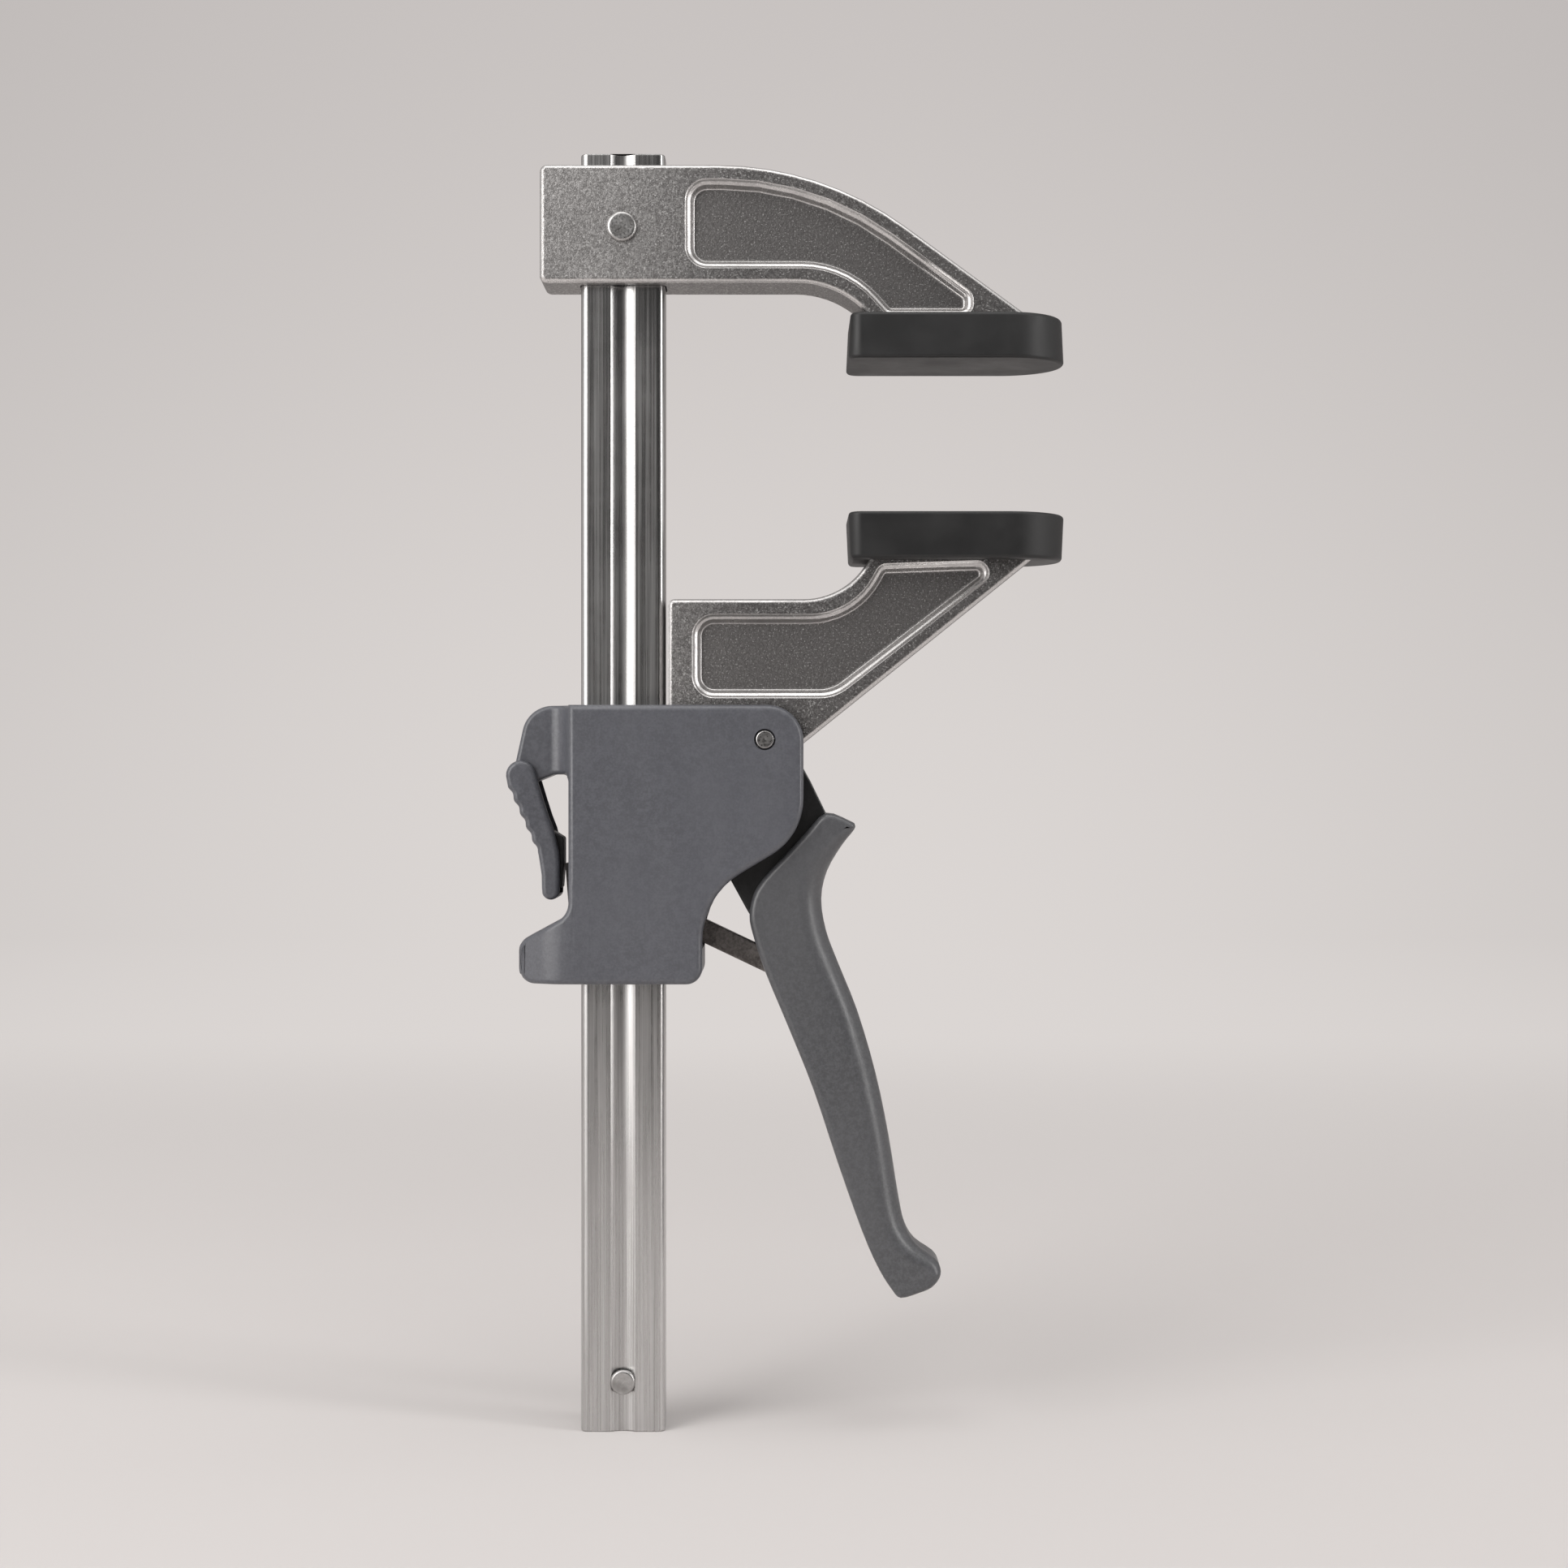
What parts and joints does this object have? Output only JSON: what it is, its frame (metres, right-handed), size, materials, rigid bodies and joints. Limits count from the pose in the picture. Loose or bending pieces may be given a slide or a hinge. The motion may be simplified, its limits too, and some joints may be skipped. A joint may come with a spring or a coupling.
{
  "type": "quick release bar clamp",
  "caption": "One-handed bar clamp: a grooved steel bar with a fixed jaw, and a lever-driven sliding jaw on a quick-release carriage.",
  "frame": {"origin": "centre of the bar's foot, on its end face", "axes": "+Z along the bar to the fixed jaw, +X from the bar to the jaws' pads, +Y to the clamp's back"},
  "size_m": [0.1461, 0.032, 0.3342],
  "materials": {
    "rail_steel": "drawn and brushed along its length",
    "cast_metal": "fine sand texture, polished edges",
    "pad_rubber": "matt, moulded",
    "housing_plastic": "fine spark texture",
    "grip_plastic": "fine spark texture",
    "core_plastic": "matt black",
    "plated_steel": "plated",
    "screw_steel": "black oxide",
    "link_steel": "as cast, browned",
    "brake_steel": "hardened, dark"
  },
  "bodies": {
    "bar": {"guide_bar": "rail_steel", "fixed_jaw": "cast_metal", "fixed_jaw_rivet": "plated_steel", "fixed_jaw_pad": "pad_rubber", "bar_stop_pin": "plated_steel"},
    "carriage": {"housing_front": "housing_plastic", "housing_back": "housing_plastic", "shell_screws": "screw_steel", "handle_pin": "plated_steel", "guide_shoes": "core_plastic", "brake_ledge_pin": "plated_steel", "brake_spring": "plated_steel", "handle_spring": "plated_steel"},
    "sliding_arm": {"sliding_jaw": "cast_metal", "sliding_jaw_pad": "pad_rubber", "jaw_guide_strap": "plated_steel", "strap_rivets": "plated_steel"},
    "handle": {"handle_core": "core_plastic", "handle_grip": "grip_plastic", "link_outer_pin": "plated_steel"},
    "link": {"toggle_link": "link_steel", "link_inner_pin": "plated_steel"},
    "release": {"release_lever": "housing_plastic", "release_pusher": "core_plastic"},
    "brake": {"brake_plate": "brake_steel"}
  },
  "joints": [
    {"name": "carriage_slide", "type": "slide", "parent": "bar", "child": "carriage", "axis": [0, 0, 1], "range_m": [-0.1008, 0.0257]},
    {"name": "handle_hinge", "type": "hinge", "parent": "carriage", "child": "handle", "pos_m": [0.0372, 0, 0.1809], "axis": [0, 1, 0], "range_deg": [0, 12], "stiffness_Nm_per_rad": 0.8, "springref_deg": -20.05, "deforming": ["handle_spring"]},
    {"name": "jaw_travel", "type": "slide", "parent": "carriage", "child": "sliding_arm", "axis": [0, 0, 1], "range_m": [0, 0.0134]},
    {"name": "link_pivot", "type": "hinge", "parent": "handle", "child": "link", "pos_m": [0.04185, 0, 0.121], "axis": [0, 1, 0], "range_deg": [0, 25.2]},
    {"name": "release_hinge", "type": "hinge", "parent": "carriage", "child": "release", "pos_m": [-0.0266, 0, 0.1717], "axis": [0, -1, 0], "range_deg": [0, 4.2], "stiffness_Nm_per_rad": 0.3, "springref_deg": -5.73},
    {"name": "brake_tilt", "type": "hinge", "parent": "carriage", "child": "brake", "pos_m": [-0.01526, 0, 0.1259], "axis": [0, 1, 0], "range_deg": [0, 4.5], "deforming": ["brake_spring"]}
  ],
  "couplings": [
    {"joint": "jaw_travel", "follows": "handle_hinge", "m_per_rad": 0.06398},
    {"joint": "link_pivot", "follows": "handle_hinge", "ratio": 2.083},
    {"joint": "brake_tilt", "follows": "release_hinge", "ratio": 1.0714}
  ]
}
